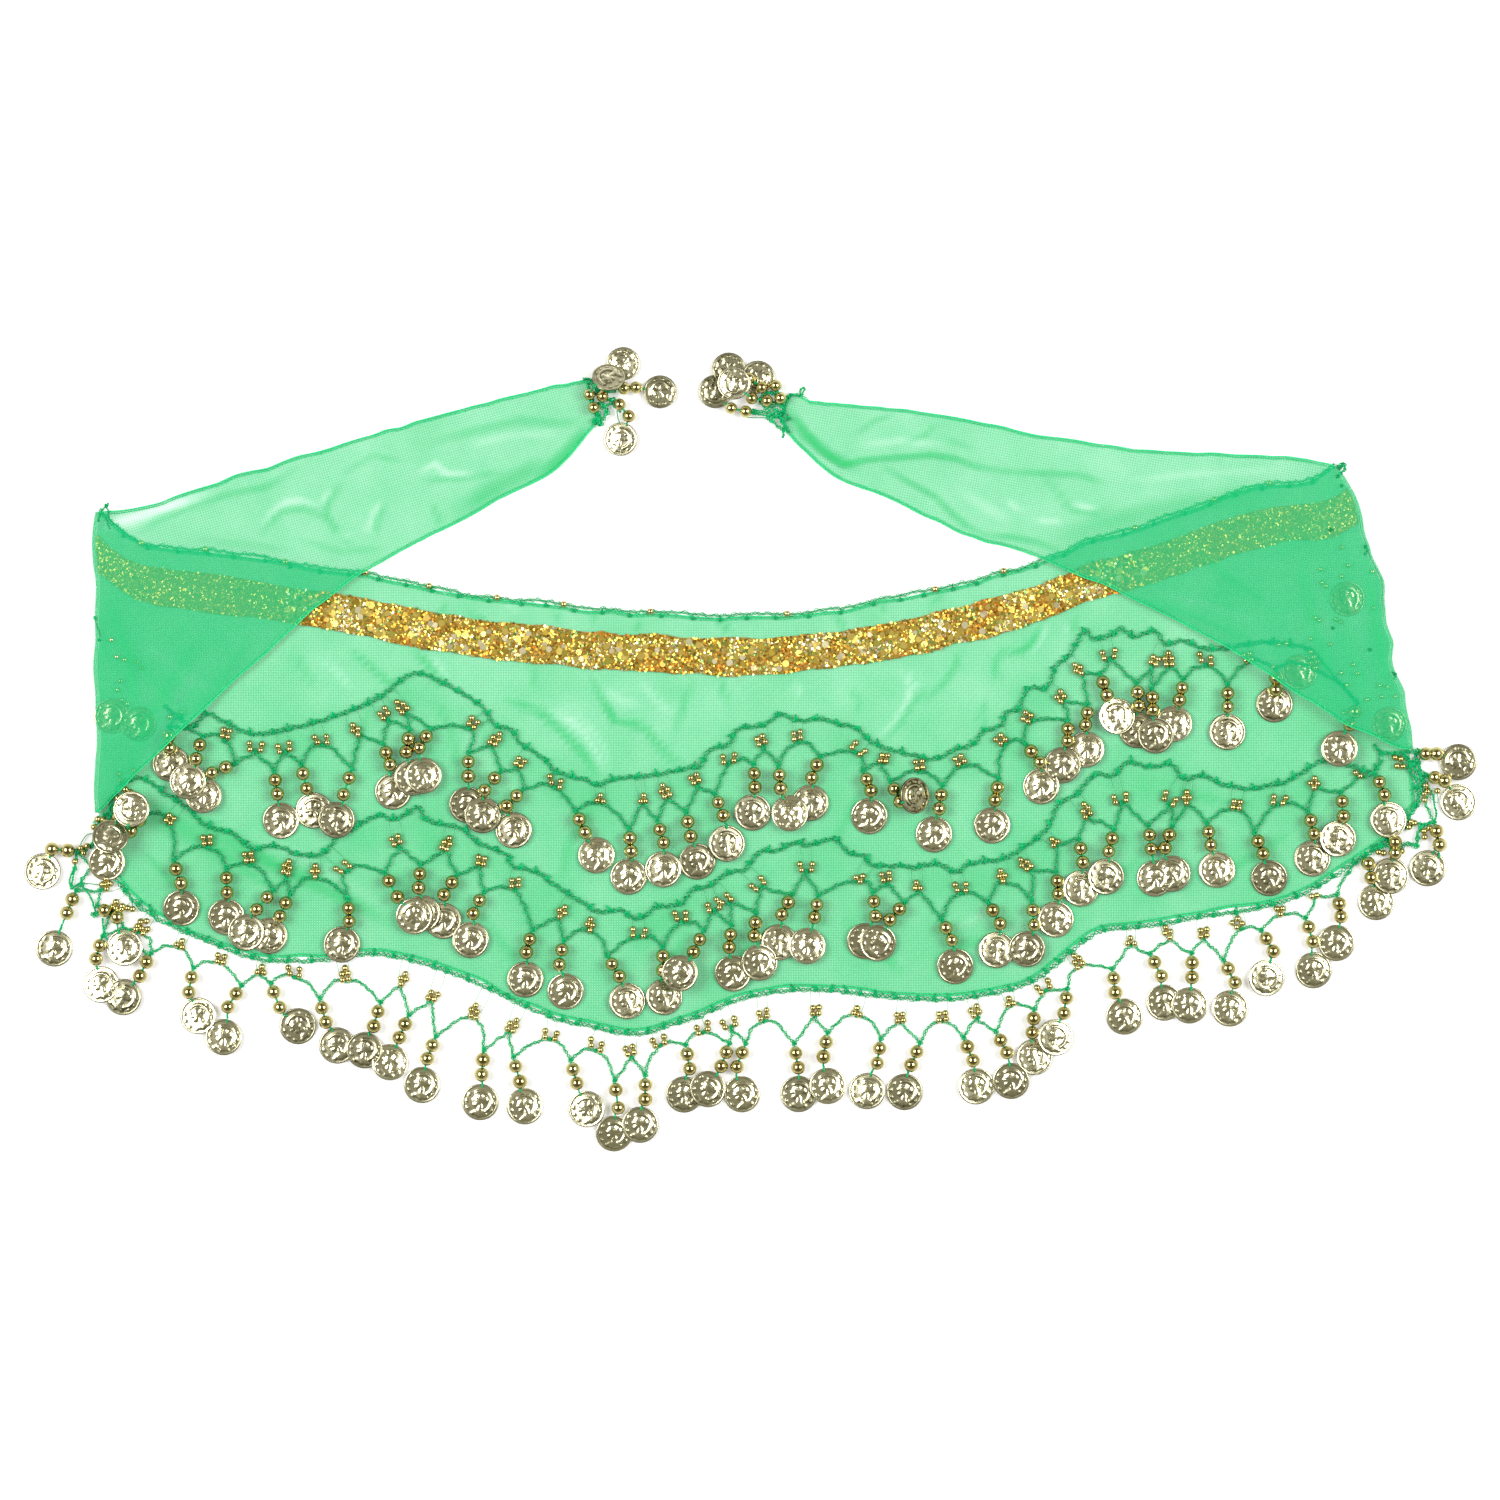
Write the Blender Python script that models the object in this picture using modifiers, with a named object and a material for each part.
"""A belly dance hip scarf of sheer chiffon, laid out flat with both tails folded over.

Frame: metres, +Z up, the cloth lies on z = 0.  +X is to the wearer's left when the scarf is seen
from its face, +Y runs from the bottom hem to the top edge.  The origin is the middle of the
footprint.  Every table below is in millimetres and degrees, and is scaled by MM when it is built.
"""

import math

import bmesh
import bpy
from mathutils import Vector

MM = 0.001

# ---- driving dimensions (mm) ----
CLOTH = 1.0             # thickness of the cloth wall
SEAM_GAP = 0.3          # clearance between pieces that touch
BAND_WIDTH = 23.0       # sequin ribbon
BAND_DROP = 24.0        # its middle, below the top edge
BAND_THICK = 0.8
BEAD_RADIUS = 3.8       # large pendant beads
BEAD_PITCH = 8.4        # from bead to bead on a pendant
COIN_RADIUS = 10.9
COIN_THICK = 0.8
COIN_REACH = 15.6       # from the second bead to the coin's middle
KNOT_REACH = 5.5        # from the knot to the first bead
THREAD_RADIUS = 0.55
CHAIN_RADIUS = 0.85     # crocheted chain
CHAIN_STEP = 22.0       # between the points of a chain
NET_LIFT = 0.4          # clearance of the net over the cloth
TAIL_LOFT = 3.6         # how high a tail lies over the panel
TAIL_RAMP = (3.0, 24.0)  # a tail comes down to the floor this far past the panel's top edge
ARCH_RISE = 0.46        # share of the way from the knots up to the chain that an arch reaches
ARCH_MIN_SPAN = 9.0     # knots closer than this share one leg of the net
ARCH_ROUND_SPAN = 25.0  # a wider arch has shoulders
MITRE_LIMIT = 0.45      # sharp corners of a net are cut off past this sine
BEAD_SQUARE = 0.78      # a bead's flats, as a share of its radius
PANEL_STEPS = 5         # cells from the panel's top edge to its hem
TAIL_STEPS = 9          # cells across a tail
FOLD_STEPS = 4          # cells round its side fold

# ---- a coin seen from its face, in radii from its middle ----
COIN_OUTLINE = (
    # along the pendant, half width
    (-1.0, 0.22),
    (-0.42, 0.95),
    (0.42, 0.95),
    (1.0, 0.42),
)

# ---- the panel: ribs from its top edge down to its bottom hem ----
PANEL_RIBS = (
    # top x, top y, hem x, hem y, sideways bow
    (-390, 141, -391, -43, 0),
    (-366, 124, -380, -76, 0),
    (-330, 118, -351, -102, 0),
    (-279, 111, -297, -124, 0),
    (-232, 103, -258, -124, 0),
    (-190, 95, -222, -122, 0),
    (-152, 89, -175, -134, 0),
    (-112, 85, -132, -154, 0),
    (-84, 82, -96, -165, 0),
    (-60, 81, -64, -168, 0),
    (-18, 79, -32, -158, 0),
    (22, 80, 8, -145, 0),
    (56, 84, 52, -143, 0),
    (90, 90, 94, -148, 0),
    (134, 100, 142, -146, 0),
    (173, 111, 174, -134, 0),
    (198, 122, 205, -110, 0),
    (223, 129, 229, -104, 0),
    (253, 139, 271, -99, 0),
    (281, 150, 324, -88, 2),
    (308, 157, 359, -68, 5),
    (336, 161, 384, -50, 8),
    (350, 169, 398, -33, 9),
)

# ---- soft folds pressed into the cloth, as low ridges ----
PANEL_FOLDS = (
    # from x, from y, to x, to y, half width, height
    (-150, 42, -128, -30, 22, 0.7),
    (-64, 42, -58, -28, 20, 0.6),
    (60, 42, 96, -10, 24, 0.8),
    (-10, -96, 4, -136, 18, 0.6),
    (136, 62, 168, 34, 20, 0.6),
    (-262, 58, -232, 12, 24, 0.7),
    (230, 84, 262, 64, 20, 0.6),
    (96, -118, 112, -140, 16, 0.5),
)

# ---- the tails: ribs from the side fold to the tip ----
# The first rib is the panel's own side, from the top edge down to the end of the fold.
FOLD_END = {"tail_left": 0.98, "tail_right": 0.84}
TAIL_RIBS = {
    "tail_left": (
        # lower x, lower y, upper x, upper y, sideways bow
        (-391, -39, -390, 141, 0),
        (-366, -14, -360, 146, 0),
        (-330, 21, -322, 159, 0),
        (-290, 58, -280, 172, 0),
        (-252, 91, -240, 184, 0),
        (-214, 116, -204, 195, 0),
        (-172, 138, -166, 205, 0),
        (-132, 159, -132, 214, 0),
        (-110, 174, -112, 219, 0),
        (-91, 197, -98, 222, 0),
    ),
    "tail_right": (
        (393, -1, 350, 169, 9),
        (362, 12, 332, 174, 5),
        (320, 38, 300, 176, 2),
        (283, 62, 268, 177, 0),
        (222, 93, 226, 180, 0),
        (164, 118, 176, 188, 0),
        (134, 126, 130, 197, 0),
        (90, 147, 90, 203, 0),
        (52, 163, 56, 207, 0),
        (30, 181, 40, 209, 0),
        (17, 198, 24, 213, 0),
    ),
}

# ---- where a tail bulges over pendants beneath it ----
TAIL_BULGES = (
    # x, y, radius, rise
    (-350, 6, 44, 7.6),
    (314, 48, 44, 7.6),
    (360, 22, 42, 7.6),
)

# ---- upper chains of the two nets on the panel ----
UPPER_CHAIN = (
    # x, y
    (-352, 26), (-334, 14), (-314, 18), (-292, 10), (-270, 14), (-236, 27), (-201, 45),
    (-181, 39), (-152, 14), (-116, -13), (-90, -21), (-60, -15), (-30, -9), (-16, 9),
    (14, 22), (42, 16), (74, 3), (112, -3), (138, 8), (160, 26), (182, 48), (202, 70),
    (226, 68), (252, 66), (283, 61), (310, 66), (336, 62),
)
LOWER_CHAIN = (
    (-384, -32), (-376, -21), (-365, -14), (-350, -26), (-326, -45), (-299, -57), (-271, -61),
    (-247, -52), (-224, -39), (-198, -36), (-172, -48), (-148, -64), (-116, -82), (-92, -97), (-66, -99), (-40, -88),
    (-12, -73), (16, -60), (44, -54), (68, -65), (96, -70), (130, -69), (154, -64), (176, -48),
    (196, -26), (226, -8), (252, -9), (284, -19), (312, -24), (344, -8), (374, -8),
)

# ---- pendants: place of the first bead, leans from straight down (+ towards +X) ----
UPPER_PENDANTS = (
    # x, y, lean of the beads, lean of the coin, lift of the coin,
    # and, where the thread is bunched up, the share of its reach that is left
    (-348, 16, 2, 2, 0),
    (-330, 2, -15, -20, 3.6),
    (-314, -11, -60, -22, 2.2),
    (-285, -19, 9, 5, 0),
    (-268, -15, 13, 20, 0),
    (-240, -18, -18, -16, 2.4),
    (-218, -2, 19, 6, 0),
    (-204, 6, -10, 14, 1.6),
    (-193.2, 7, -31, 8, 3.2),
    (-169, -8, 0, -2, 0),
    (-152, -18, -30, -12, 1.6),
    (-140, -28, -44, 16, 0),
    (-103, -42, 24, 26, 0),
    (-72, -54, 5, -6, 0),
    (-54, -49, 17, -1, 1.6),
    (-38, -44, 12, 14, 0),
    (-19, -32, 21, 5, 1.6),
    (2, -15, 3, -5, 0),
    (17, -16, 5, 20, 1.6),
    (40, -10, -22, -3, 0),
    (69, -18, 22, -4, 0),
    (85, -24, 18, 30, 1.6),
    (114, -28, -8, -12, 0),
    (148, -23, -10, -7, 0),
    (167, -2, 30, 4, 0),
    (190, 12, -2, -11, 1.6),
    (202, 21, -6, 9, 0),
    (211, 40, 18, 22, 1.6),
    (232, 34, 5, -3, 0),
    (241, 31, 2, 6, 1.6),
    (259, 36, -12, -12, 0),
    (286, 33, 0, 0, 0),
    (316, 50, -4, -4, 0),
    (362, 22, -20, -24, 3.2),
)
LOWER_PENDANTS = (
    (-384.5, -46, -3, -4, 1.6, 0.9),
    (-374.5, -33.5, -28, -20, 7.8, 0.8),
    (-366, -43, -38, 176, 9.4, 0.86),
    (-344, -70, 19, 0, 0),
    (-314, -78, 3, -3, 0),
    (-290, -89, -40, -25, 1.6),
    (-278, -91, -24, -30, 0),
    (-241, -95, 3, -18, 1.6),
    (-217, -79, 28, 41, 3.2),
    (-198, -75, -5, 8, 1.6),
    (-179, -80, -33, -3, 0),
    (-162, -91, -26, -6, 1.6),
    (-132, -114, -15, -2, 0),
    (-113, -121, -10, 12, 0),
    (-83, -129, 32, 17, 0),
    (-52, -124, 0, 3, 0),
    (-30, -114, -27, -33, 7.8),
    (-12, -111, -7, 8, 0),
    (3, -104, -5, 11, 1.6),
    (23, -92, -28, -6, 0),
    (40, -93, -10, -14, 1.6),
    (74, -92, 6, -22, 0),
    (89, -96, -42, -28, 1.6),
    (117, -107, 26, 8, 0),
    (145, -97, 30, -7, 0),
    (169, -97, 5, -16, 1.6),
    (184, -79, 4, 0, 0),
    (198, -60, 9, 0, 0),
    (217, -54, -15, -6, 1.6),
    (239, -52, 6, 8, 0),
    (251, -52, -19, 16, 1.6),
    (274, -50, 10, 15, 0),
    (304, -56, 22, 15, 0),
    (335, -43, 15, -2, 0),
    (354, -32, 6, -12, 1.6),
    (377, -20, 22, 10, 1.6),
)
HEM_PENDANTS = (
    (-409, -61, -90, -23, 0),
    (-406, -90, -21, -21, 0),
    (-387, -97, 60, 14, 1.6, 1.2),
    (-390, -118, -15, 10, 0),
    (-362, -128, -26, -39, 1.6),
    (-335, -137, -10, 21, 0),
    (-308, -147, -32, -8, 1.6),
    (-286, -146, 21, 43, 0),
    (-257, -155, 15, 25, 0),
    (-223, -158, -15, -21, 1.6),
    (-207, -165, -23, -21, 0),
    (-191, -178, -21, -12, 0),
    (-160, -187, -5, -3, 0),
    (-141, -190, 16, 10, 0),
    (-106, -192, 16, 21, 1.6),
    (-81, -206.4, 8, -9, 0),
    (-63, -202, 0, -11, 1.6),
    (-38, -183, 10, -13, 0),
    (-14, -182, -21, -30, 1.6),
    (-5, -182, -22, 10, 0),
    (27, -182, 10, 1, 0),
    (45, -176, -10, 8, 1.6),
    (77, -180, -10, -20, 0),
    (100, -182, -23, -13, 0),
    (130, -179, 22, 7, 0),
    (150, -175, 27, 9, 1.6),
    (170, -162, -7, 6, 0),
    (189, -150, -9, -15, 1.6),
    (218, -138, 7, 21, 0),
    (242, -128, 27, 7, 0),
    (265, -128, 0, -5, 1.6),
    (286, -132, 26, -10, 0),
    (309, -114, 29, -13, 0),
    (334, -107, 16, 3, 0),
    (353, -93, 8, -9, 1.6),
    (370, -69, 11, 13, 0),
    (388, -58, 0, 0, 1.6),
    (411, -50, 12, -26, 0),
    (409, -17, 71, 34, 0, 0.8),
    (405.2, -4.5, 90, 84, 1.6, 0.7),
)
TASSEL_PENDANTS = {
    "tassel_left": (
        (-88.5, 218.5, 135, 150, -1.3, 0.51),
        (-87.5, 205.5, 150, 185, 7.8, 0.66),
        (-75.6, 216, 98, 80, -1.3),
        (-78, 206.5, 35, -15, -1.3),
    ),
    "tassel_right": (
        (17, 211, -160, -128, -1.3, 0.8),
        (6, 217, -126, -117, 0.4),
        (9.5, 209, -101, -130, 8.4, 0.85),
        (-3, 203, -103, -132, -1.3),
    ),
}
TASSEL_PILE = 1.3       # tassel beads lie this much higher, over the threads beneath them

# ---- finishes: colour, roughness, metallic ----
FINISHES = {
    "chiffon": ((0.05, 0.68, 0.24), 0.7, 0.0),
    "sequins": ((0.75, 0.50, 0.10), 0.3, 0.8),
    "gilt": ((0.55, 0.46, 0.20), 0.35, 0.9),
}


def smooth_path(points, step):
    """A smooth curve through the points, with a point about every step along it."""
    points = [Vector(p) for p in points]
    last = len(points) - 1
    slopes = []
    for i in range(last + 1):
        before, after = points[max(i - 1, 0)], points[min(i + 1, last)]
        slopes.append((after - before).normalized())
    path = []
    for i in range(last):
        span = (points[i + 1] - points[i]).length
        count = max(1, round(span / step))
        for k in range(count):
            t = k / count
            path.append(
                points[i] * (2 * t**3 - 3 * t**2 + 1)
                + slopes[i] * span * (t**3 - 2 * t**2 + t)
                + points[i + 1] * (3 * t**2 - 2 * t**3)
                + slopes[i + 1] * span * (t**3 - t**2)
            )
    path.append(points[last])
    return path


def smooth_ribs(ribs, spans):
    """More ribs between those of a table, each column running smoothly from row to row."""
    rows = []
    for i in range(len(ribs) - 1):
        p0, p1, p2, p3 = (ribs[min(max(k, 0), len(ribs) - 1)] for k in (i - 1, i, i + 1, i + 2))
        for k in range(spans):
            t = k / spans
            rows.append(tuple(
                0.5 * (2 * b + (c - a) * t + (2 * a - 5 * b + 4 * c - d) * t**2
                       + (3 * b - a - 3 * c + d) * t**3)
                for a, b, c, d in zip(p0, p1, p2, p3)
            ))
    rows.append(tuple(ribs[-1]))
    return rows


def bump(distance, reach):
    """1 at the middle, falling smoothly to 0 at the reach."""
    share = min(distance / reach, 1.0)
    return (1 - share * share) ** 2


def relief(x, y):
    """How far the panel's folds lift it off the floor at a place."""
    height = 0.0
    place = Vector((x, y))
    for x0, y0, x1, y1, half_width, rise in PANEL_FOLDS:
        start, run = Vector((x0, y0)), Vector((x1 - x0, y1 - y0))
        along = max(0.0, min(1.0, (place - start).dot(run) / run.length_squared))
        height += rise * bump((place - start - run * along).length, half_width)
    return height


def top_edge_y(x):
    """The panel's top edge at a given x."""
    tops = [rib[:2] for rib in PANEL_RIBS]
    for (x0, y0), (x1, y1) in zip(tops, tops[1:]):
        if x <= x1:
            return y0 + (y1 - y0) * max(0.0, (x - x0) / (x1 - x0))
    return tops[-1][1]


def tail_lift(x, y):
    """Height of a tail's underside: over the panel and its pendants, or down on the floor."""
    past_edge = y - top_edge_y(x)
    start, end = TAIL_RAMP
    share = max(0.0, min(1.0, (past_edge - start) / (end - start)))
    lift = TAIL_LOFT * (1 - share * share * (3 - 2 * share))
    for centre_x, centre_y, radius, rise in TAIL_BULGES:
        lift += rise * bump(math.hypot(x - centre_x, y - centre_y), radius)
    return lift


def panel_point(rib, share, height):
    """A point of the panel on one rib, at a share of the way from the top edge to the hem."""
    top_x, top_y, hem_x, hem_y, bow = rib
    x = top_x + (hem_x - top_x) * share + bow * 4 * share * (1 - share)
    y = top_y + (hem_y - top_y) * share
    return Vector((x, y, relief(x, y) + height))


def finish(name):
    """The material of one finish, made once."""
    if name in bpy.data.materials:
        return bpy.data.materials[name]
    colour, roughness, metallic = FINISHES[name]
    material = bpy.data.materials.new(name)
    material.use_nodes = True
    shader = material.node_tree.nodes["Principled BSDF"]
    shader.inputs["Base Color"].default_value = (*colour, 1.0)
    shader.inputs["Roughness"].default_value = roughness
    shader.inputs["Metallic"].default_value = metallic
    return material


def add_object(name, bm, finish_name, collection):
    """Turn a bmesh in millimetres into a named object in metres."""
    bmesh.ops.scale(bm, vec=(MM, MM, MM), verts=bm.verts)
    mesh = bpy.data.meshes.new(name)
    bm.to_mesh(mesh)
    bm.free()
    obj = bpy.data.objects.new(name, mesh)
    collection.objects.link(obj)
    material = finish(finish_name).copy()
    material.name = name + "_finish"
    mesh.materials.append(material)
    return obj


def sheet(rows):
    """An open surface through rows of points, its faces pointing up for rows that run +X."""
    bm = bmesh.new()
    grid = [[bm.verts.new(point) for point in row] for row in rows]
    for row, following in zip(grid, grid[1:]):
        for k in range(len(row) - 1):
            bm.faces.new((row[k + 1], following[k + 1], following[k], row[k]))
    return bm


def thicken(obj, thickness, offset):
    """Give a sheet its wall."""
    wall = obj.modifiers.new("wall", "SOLIDIFY")
    wall.thickness = thickness * MM
    wall.offset = offset
    return obj


def build_panel(collection):
    rows = []
    for rib in smooth_ribs(PANEL_RIBS, 2):
        rows.append([panel_point(rib, k / PANEL_STEPS, 0) for k in range(PANEL_STEPS + 1)])
    panel = add_object("panel", sheet(rows), "chiffon", collection)
    return thicken(panel, CLOTH, 1)


def build_band(collection):
    rows = []
    for rib in smooth_ribs(PANEL_RIBS, 2):
        length = math.hypot(rib[2] - rib[0], rib[3] - rib[1])
        edges = (BAND_DROP - BAND_WIDTH / 2, BAND_DROP + BAND_WIDTH / 2)
        rows.append([panel_point(rib, drop / length, CLOTH + SEAM_GAP) for drop in edges])
    band = add_object("sequin_band", sheet(rows), "sequins", collection)
    return thicken(band, BAND_THICK, 1)


def rib_points(rib, steps):
    """Points along a tail's rib, from its lower edge to its upper edge."""
    low_x, low_y, up_x, up_y, bow = rib
    points = []
    for k in range(steps + 1):
        share = k / steps
        x = low_x + (up_x - low_x) * share + bow * 4 * share * (1 - share)
        points.append(Vector((x, low_y + (up_y - low_y) * share)))
    return points


def side_points(name, steps):
    """The panel's side where a tail folds over it, from the fold's lower end up."""
    rib = PANEL_RIBS[0] if name == "tail_left" else PANEL_RIBS[-1]
    shares = [FOLD_END[name] * (1 - k / steps) for k in range(steps + 1)]
    return [panel_point(rib, share, 0).xy for share in shares]


def build_tail(name, collection):
    """A tail: round the fold at the panel's side, over the panel, then down to its tip."""
    outward = -1 if name == "tail_left" else 1
    edge = [point + Vector((outward * SEAM_GAP, 0)) for point in side_points(name, TAIL_STEPS)]
    rows = []
    for k in range(FOLD_STEPS):
        angle = math.pi * k / FOLD_STEPS
        row = []
        for x, y in edge:
            radius = tail_lift(x, y) / 2
            swing = radius * math.sin(angle) * outward
            row.append(Vector((x + swing, y, CLOTH / 2 + radius * (1 - math.cos(angle)))))
        rows.append(row)
    lines = [rib_points(rib, TAIL_STEPS) for rib in smooth_ribs(TAIL_RIBS[name], 2)]
    lines[0] = edge
    for line in lines:
        rows.append([Vector((x, y, CLOTH / 2 + tail_lift(x, y))) for x, y in line])
    tail = add_object(name, sheet(rows), "chiffon", collection)
    return thicken(tail, CLOTH, 0)


def lean_direction(degrees):
    """Straight down the page is 0, towards +X is positive."""
    angle = math.radians(degrees)
    return Vector((math.sin(angle), -math.cos(angle), 0))


def pendant_knot(pendant):
    """Where a pendant hangs from its net."""
    x, y, bead_lean = pendant[:3]
    return Vector((x, y, 0)) - lean_direction(bead_lean) * KNOT_REACH


def pendant_stations(pendant, rest):
    """Places down one pendant with their half width, lowest and highest level."""
    x, y, bead_lean, coin_lean, lift, *bunched = pendant
    reach = bunched[0] if bunched else 1.0
    bead_run, coin_run = lean_direction(bead_lean), lean_direction(coin_lean)
    first = Vector((x, y, 0))
    second = first + bead_run * BEAD_PITCH
    coin = second + coin_run * COIN_REACH * reach
    core = rest + BEAD_RADIUS
    thread = (THREAD_RADIUS, core - THREAD_RADIUS, core + THREAD_RADIUS)
    bead = (BEAD_RADIUS * BEAD_SQUARE, core - BEAD_RADIUS * BEAD_SQUARE,
            core + BEAD_RADIUS * BEAD_SQUARE)
    stations = []
    for centre in (first, second):
        stations.append((centre - bead_run * BEAD_RADIUS * 0.5, *bead))
        stations.append((centre + bead_run * BEAD_RADIUS * 0.5, *bead))
        if centre is first:
            stations.append((first.lerp(second, 0.5), *thread))
    low, high = rest + lift, rest + lift + COIN_THICK
    hidden_tip = 1 if reach < 0.9 else 0
    for along, across in COIN_OUTLINE[hidden_tip:]:
        stations.append((coin + coin_run * COIN_RADIUS * along, COIN_RADIUS * across, low, high))
    return stations


def new_net():
    """A net is places, each with half width, low and high level, and the strips between them."""
    return {"places": [], "strips": []}


def add_place(net, point, half_width, low, high):
    net["places"].append((point.xy, half_width, low, high))
    return len(net["places"]) - 1


def add_run(net, points, half_width, lay, level):
    """A cord of the net through some points; returns the numbers of its places."""
    run = []
    for point in points:
        middle = lay(point, level).z
        run.append(add_place(net, point, half_width, middle - half_width, middle + half_width))
    net["strips"] += zip(run, run[1:])
    return run


def add_pendant(net, knot, pendant, rest):
    previous = knot
    for point, half_width, low, high in pendant_stations(pendant, rest):
        place = add_place(net, point, half_width, low, high)
        net["strips"].append((previous, place))
        previous = place


def net_corners(bm, net, number, arms):
    """Mitred corners round a place, in order, each a lower and an upper vertex."""
    place, half_width, low, high = net["places"][number]
    angles = []
    for arm in arms:
        run = net["places"][arm][0] - place
        angles.append(math.atan2(run.y, run.x))
    if len(arms) == 1:
        spreads = [math.pi / 2, 3 * math.pi / 2]
        angles = [angles[0], angles[0]]
    else:
        following = angles[1:] + [angles[0] + 2 * math.pi]
        spreads = [(after - angle) / 2 for angle, after in zip(angles, following)]
    corners = []
    for angle, spread in zip(angles, spreads):
        reach = half_width / max(abs(math.sin(spread)), MITRE_LIMIT)
        x = place.x + reach * math.cos(angle + spread)
        y = place.y + reach * math.sin(angle + spread)
        corners.append((bm.verts.new((x, y, low)), bm.verts.new((x, y, high))))
    return corners


def net_solid(net):
    """Turn a net into one closed body: strips between hubs, each with a floor and a roof."""
    bm = bmesh.new()
    arms = [[] for _ in net["places"]]
    for start, end in net["strips"]:
        arms[start].append(end)
        arms[end].append(start)
    corners = []
    for number, (place, *_) in enumerate(net["places"]):
        def heading(arm):
            run = net["places"][arm][0] - place
            return math.atan2(run.y, run.x)
        arms[number].sort(key=heading)
        corners.append(net_corners(bm, net, number, arms[number]))

    def ends(number, arm):
        """The corners to the right and to the left of the way out along an arm."""
        k = arms[number].index(arm)
        return corners[number][k - 1], corners[number][k]

    def plate(ring):
        bm.faces.new([high for _, high in ring])
        bm.faces.new([low for low, _ in reversed(ring)])

    def rim(first, second):
        bm.faces.new((first[0], second[0], second[1], first[1]))

    for start, end in net["strips"]:
        start_right, start_left = ends(start, end)
        end_right, end_left = ends(end, start)
        plate((start_right, end_left, end_right, start_left))
        rim(start_right, end_left)
        rim(end_right, start_left)
    for number, ring in enumerate(corners):
        if len(arms[number]) == 1:
            rim(ring[0], ring[1])
        elif len(arms[number]) > 2:
            plate(ring)
    return bm


def on_cloth(point, lift):
    return Vector((point.x, point.y, relief(point.x, point.y) + CLOTH + lift))


def on_floor(point, lift):
    return Vector((point.x, point.y, lift))


def build_net(name, chain, pendants, lay, collection):
    """One crocheted row: a chain, the swags hung from it on threads, and the pendants."""
    net = new_net()
    level = NET_LIFT + CHAIN_RADIUS
    holds = add_run(net, chain, CHAIN_RADIUS, lay, level)

    def hang(place):
        """Tie a place of the swag up to the nearest place of the chain."""
        point = net["places"][place][0]
        hold = min(holds, key=lambda k: (net["places"][k][0] - point).length)
        net["strips"].append((hold, place))

    points = [pendant_knot(pendant) for pendant in pendants]
    previous = None
    for pendant, point in zip(pendants, points):
        knot = add_run(net, [point], CHAIN_RADIUS, lay, level)[0]
        if previous is None:
            hang(knot)
        else:
            last_knot, last_point = previous
            middle = last_point.lerp(point, 0.5)
            span = (point - last_point).length
            if span > ARCH_MIN_SPAN:
                hold = min(chain, key=lambda held: (held.xy - middle.xy).length)
                rise = (hold - middle) * ARCH_RISE
                arch = [middle + rise]
                if span > ARCH_ROUND_SPAN:
                    arch = [last_point.lerp(point, 0.2) + rise * 0.7, middle + rise,
                            last_point.lerp(point, 0.8) + rise * 0.7]
                run = add_run(net, arch, CHAIN_RADIUS, lay, level)
                net["strips"] += [(last_knot, run[0]), (run[-1], knot)]
                hang(run[len(run) // 2])
            else:
                net["strips"].append((last_knot, knot))
        add_pendant(net, knot, pendant, lay(Vector(pendant[:2]).to_3d(), SEAM_GAP).z)
        previous = (knot, point)
    hang(knot)
    return add_object(name, net_solid(net), "gilt", collection)


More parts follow.
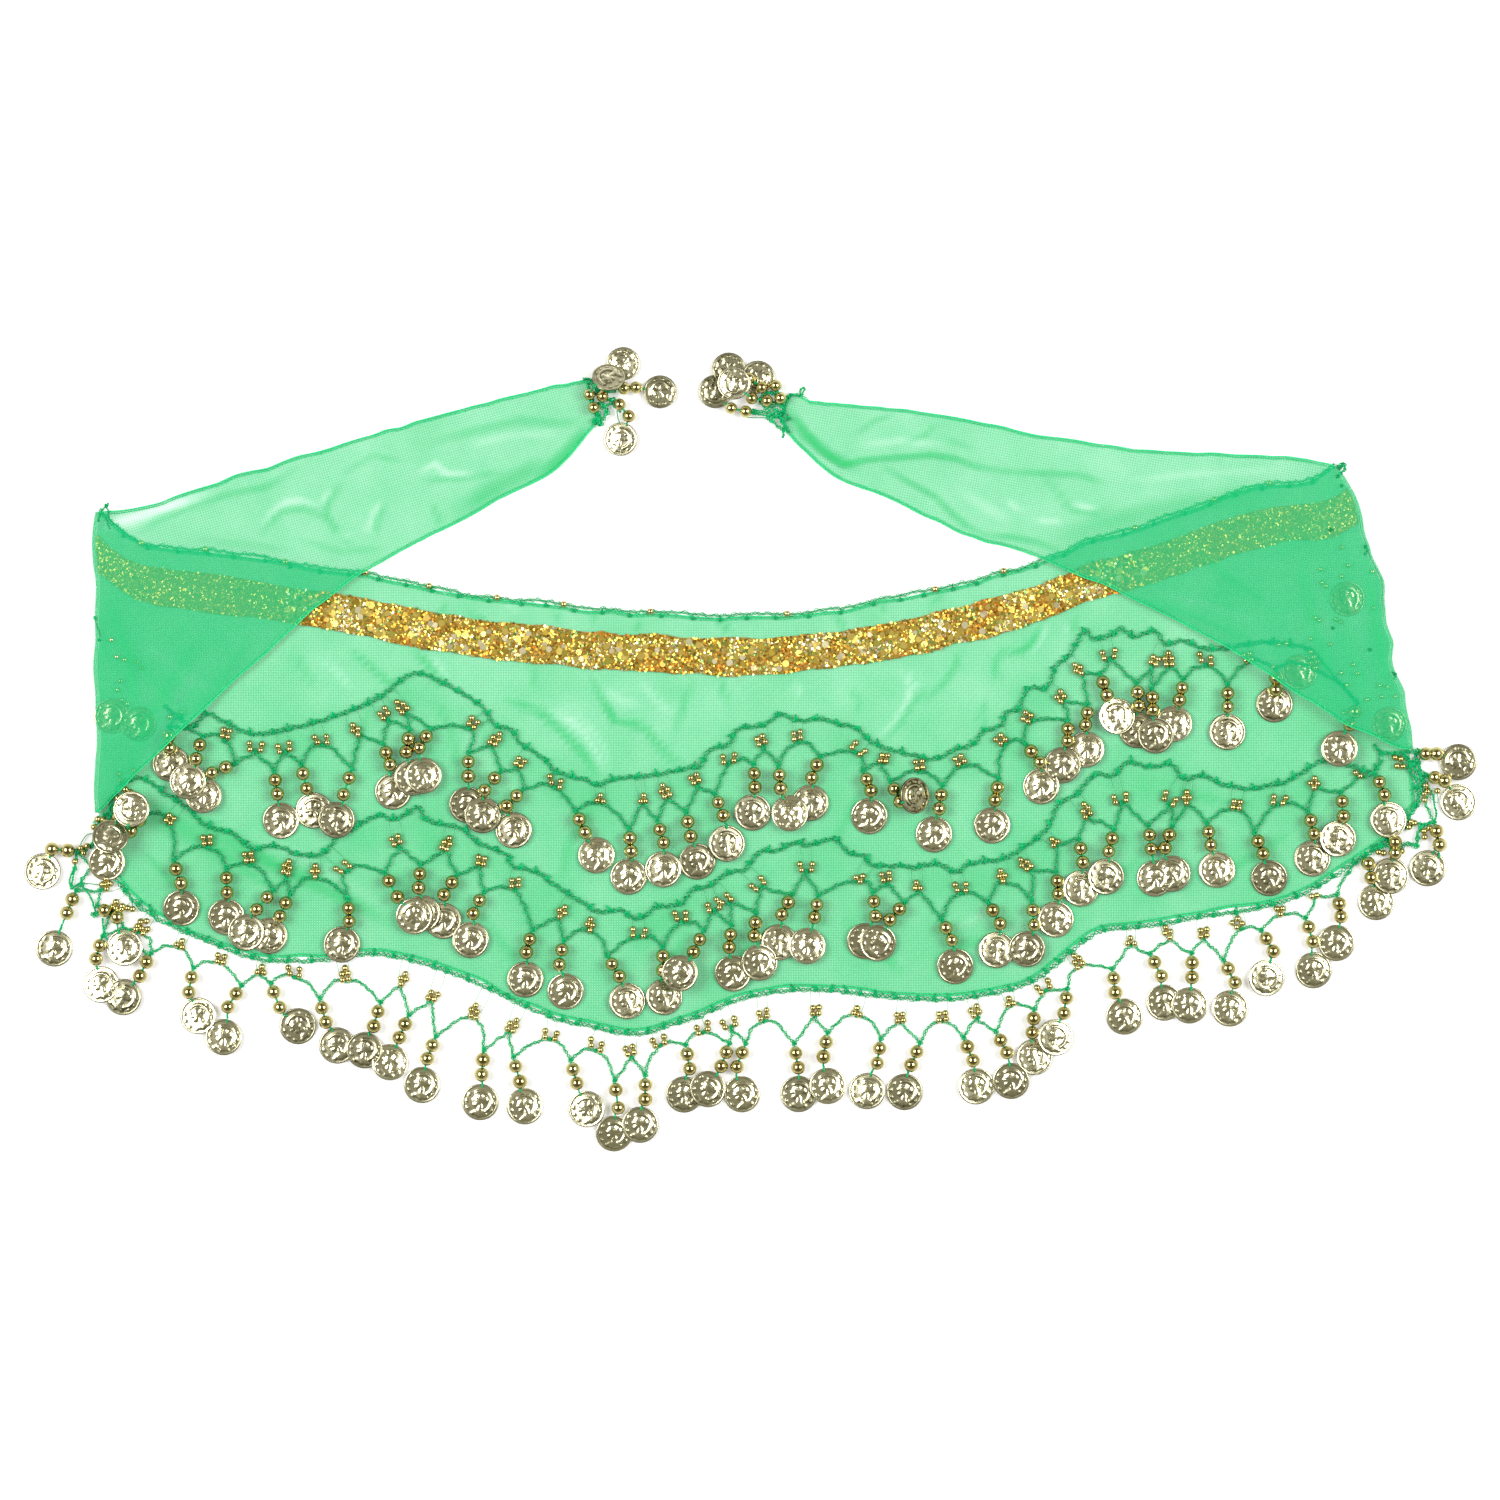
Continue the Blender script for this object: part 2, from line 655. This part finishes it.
def hem_chain():
    """The third row's upper chain: along the bottom hem, then up the side to the right fold."""
    hem = [Vector(rib[2:4]) for rib in smooth_ribs(PANEL_RIBS, 2)]
    fold_end = FOLD_END["tail_right"] + 0.04
    for k in range(1, 4):
        hem.append(panel_point(PANEL_RIBS[-1], 1 - (1 - fold_end) * k / 3, 0).xy)
    outset = SEAM_GAP + CHAIN_RADIUS + 0.4
    chain = []
    for i, point in enumerate(hem):
        run = (hem[min(i + 1, len(hem) - 1)] - hem[max(i - 1, 0)]).normalized()
        chain.append((point + Vector((run.y, -run.x)) * outset).to_3d())
    return chain


def build_tassel(name, collection):
    """Four pendants on a knotted strip along a tail's tip."""
    ribs = TAIL_RIBS["tail" + name.removeprefix("tassel")]
    low, up = Vector(ribs[-1][:2]), Vector(ribs[-1][2:4])
    across = (up - low).normalized()
    outward = Vector((across.y, -across.x))
    if outward.dot(low - Vector(ribs[-2][:2])) < 0:
        outward.negate()
    outset = outward * (SEAM_GAP + CHAIN_RADIUS + 0.1)
    strip = [low.lerp(up, k / 5) + outset for k in range(6)]
    strip = [point.to_3d() for point in strip]
    net = new_net()
    level = NET_LIFT + CHAIN_RADIUS
    holds = add_run(net, strip, CHAIN_RADIUS, on_floor, level)
    for pendant in TASSEL_PENDANTS[name]:
        point = pendant_knot(pendant)
        hold = min(holds, key=lambda k: (net["places"][k][0] - point.xy).length)
        knot = hold
        if outward.dot(point.xy - net["places"][hold][0]) > CHAIN_RADIUS:
            knot = add_run(net, [point], THREAD_RADIUS, on_floor, level - 0.2)[0]
            net["strips"].append((hold, knot))
        add_pendant(net, knot, pendant, SEAM_GAP + TASSEL_PILE)
    return add_object(name, net_solid(net), "gilt", collection)


def main():
    for obj in list(bpy.data.objects):
        bpy.data.objects.remove(obj)
    collection = bpy.data.collections.new("belly_dance_hip_scarf")
    bpy.context.scene.collection.children.link(collection)
    build_panel(collection)
    build_band(collection)
    build_tail("tail_left", collection)
    build_tail("tail_right", collection)
    upper_chain = [point.to_3d() for point in smooth_path(UPPER_CHAIN, CHAIN_STEP)]
    lower_chain = [point.to_3d() for point in smooth_path(LOWER_CHAIN, CHAIN_STEP)]
    build_net("crochet_row_upper", upper_chain, UPPER_PENDANTS, on_cloth, collection)
    build_net("crochet_row_lower", lower_chain, LOWER_PENDANTS, on_cloth, collection)
    build_net("hem_fringe", hem_chain(), HEM_PENDANTS, on_floor, collection)
    build_tassel("tassel_left", collection)
    build_tassel("tassel_right", collection)


main()
